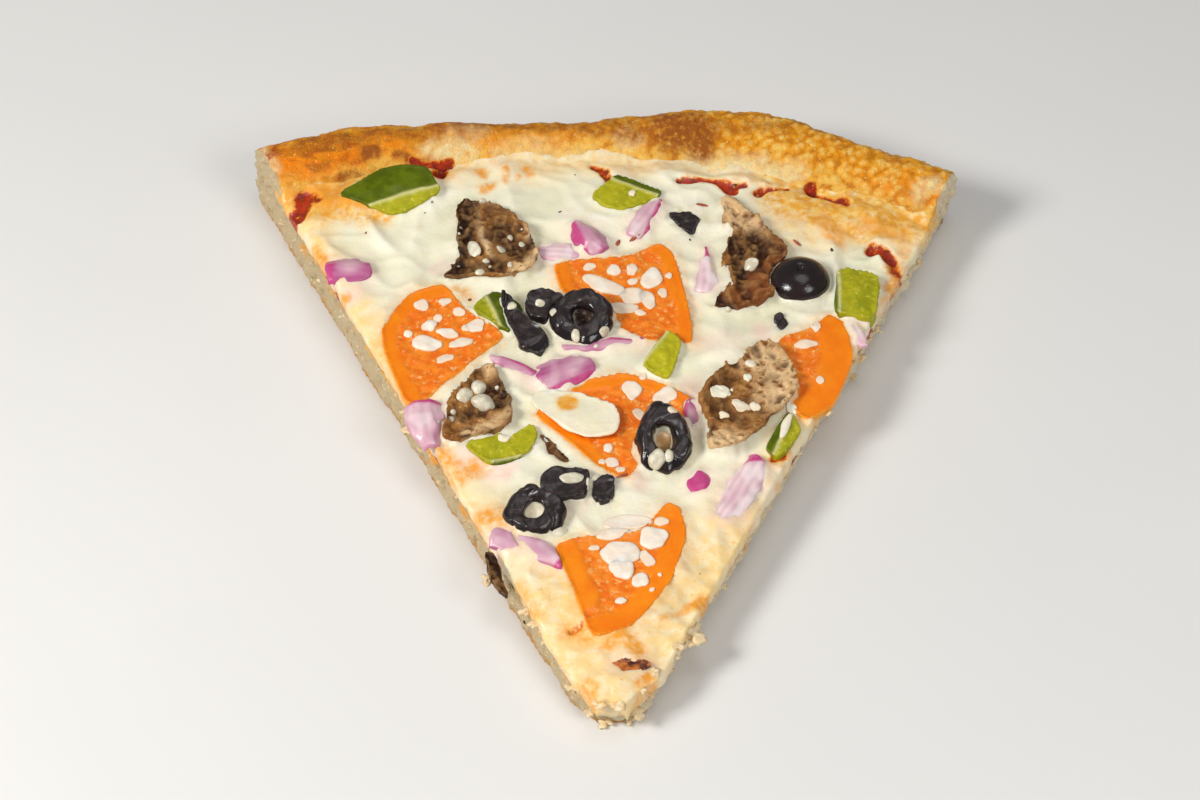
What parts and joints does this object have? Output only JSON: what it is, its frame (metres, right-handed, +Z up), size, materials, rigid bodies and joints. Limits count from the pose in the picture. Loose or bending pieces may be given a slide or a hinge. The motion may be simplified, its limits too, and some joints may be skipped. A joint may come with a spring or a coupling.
{
  "type": "pizza slice",
  "caption": "Baked wedge of vegetable pizza with a raised golden rim, sauce and melted cheese under tomato, green pepper, mushroom, olive and red onion pieces",
  "frame": {"origin": "middle of the bounding box on the underside of the dough", "axes": "+Z up from the underside, +Y from the tip to the raised rim, +X to the right seen from the tip"},
  "size_m": [0.173, 0.1878, 0.0207],
  "materials": {
    "baked_dough": "golden baked crust with pale crumb at the cuts",
    "tomato_sauce": "moist red sauce",
    "melted_cheese": "soft sheen, cream with oil stains",
    "tomato_flesh": "moist orange red flesh",
    "green_pepper": "waxy skin and moist flesh",
    "baked_mushroom": "dry wrinkled brown and tan",
    "black_olive": "glossy black skin",
    "red_onion": "translucent pink and magenta"
  },
  "bodies": {
    "root": {"dough": "baked_dough", "sauce": "tomato_sauce", "cheese": "melted_cheese", "cheese_pool": "melted_cheese", "tomato_back": "tomato_flesh", "tomato_left": "tomato_flesh", "tomato_middle": "tomato_flesh", "tomato_right": "tomato_flesh", "tomato_tip": "tomato_flesh", "pepper_back": "green_pepper", "pepper_crescent": "green_pepper", "pepper_edge": "green_pepper", "pepper_left": "green_pepper", "pepper_middle": "green_pepper", "pepper_right": "green_pepper", "pepper_rim": "green_pepper", "mushroom_back_left": "baked_mushroom", "mushroom_back_right": "baked_mushroom", "mushroom_left": "baked_mushroom", "mushroom_right": "baked_mushroom", "mushroom_scrap": "baked_mushroom", "mushroom_sliver": "baked_mushroom", "olive_cap": "black_olive", "olive_comma": "black_olive", "olive_crumb": "black_olive", "olive_half_back": "black_olive", "olive_half_front": "black_olive", "olive_hook_front": "black_olive", "olive_ring_back": "black_olive", "olive_ring_front": "black_olive", "olive_ring_middle": "black_olive", "olive_wedge_back": "black_olive", "onion_back": "red_onion", "onion_band": "red_onion", "onion_by_mushroom": "red_onion", "onion_by_tomato": "red_onion", "onion_centre": "red_onion", "onion_crisp": "red_onion", "onion_far_left": "red_onion", "onion_fold": "red_onion", "onion_front": "red_onion", "onion_front_strip": "red_onion", "onion_left_edge": "red_onion", "onion_pale": "red_onion", "onion_right_edge": "red_onion", "onion_spike": "red_onion", "onion_spot": "red_onion", "onion_streak": "red_onion"}
  },
  "joints": []
}
